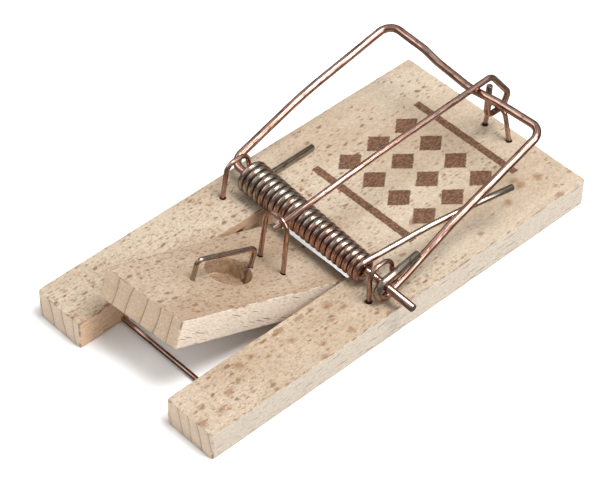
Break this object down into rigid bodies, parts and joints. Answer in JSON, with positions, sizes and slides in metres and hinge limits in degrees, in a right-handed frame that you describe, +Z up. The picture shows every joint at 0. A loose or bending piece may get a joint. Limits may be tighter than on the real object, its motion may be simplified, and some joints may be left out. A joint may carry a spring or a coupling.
{
  "type": "snap mouse trap",
  "caption": "Snap mouse trap with a slotted wooden base, a tilting bait treadle, a coil-sprung wire striker and a locking rod, shown set.",
  "frame": {"origin": "on the underside of the base board, on its middle line, in the middle of the solid land behind the slot", "axes": "+Z up out of the board's top; +Y along the board to the rear edge, where the locking rod is stapled; +X to the side where the striker's axle sticks out"},
  "size_m": [0.054, 0.1, 0.0241],
  "materials": {
    "beech": "sanded beech, unfinished, with brown ray flecks",
    "treadle_beech": "sanded beech, unfinished",
    "coppered_wire": "thinly copper-washed drawn steel wire, satin",
    "spring_wire": "copper-washed spring steel, worn to grey in places",
    "plain_wire": "drawn steel wire, tarnished"
  },
  "bodies": {
    "base": {"base_board": "beech", "treadle_pivot_pin": "plain_wire", "front_stop_wire": "coppered_wire", "left_axle_staple": "coppered_wire", "right_axle_staple": "coppered_wire", "rear_staple": "coppered_wire", "torsion_spring": "spring_wire"},
    "striker": {"striker": "coppered_wire"},
    "locking_rod": {"locking_rod": "coppered_wire"},
    "treadle": {"treadle": "treadle_beech", "catch_staple": "coppered_wire", "bait_staple": "plain_wire"}
  },
  "joints": [
    {"name": "striker_swing", "type": "hinge", "parent": "base", "child": "striker", "pos_m": [0, -0.0283, 0.0096], "axis": [0.9994, -0.0349, 0], "range_deg": [0, 164], "deforming": ["torsion_spring"]},
    {"name": "locking_rod_swing", "type": "hinge", "parent": "base", "child": "locking_rod", "pos_m": [0.0032, 0.02, 0.01395], "axis": [-1, 0, 0], "range_deg": [0, 140]},
    {"name": "treadle_tilt", "type": "hinge", "parent": "base", "child": "treadle", "pos_m": [0, -0.0357, 0.00357], "axis": [1, 0, 0], "range_deg": [0, 17]}
  ],
  "couplings": [
    {"joint": "treadle_tilt", "follows": "striker_swing", "ratio": 0.10366}
  ]
}
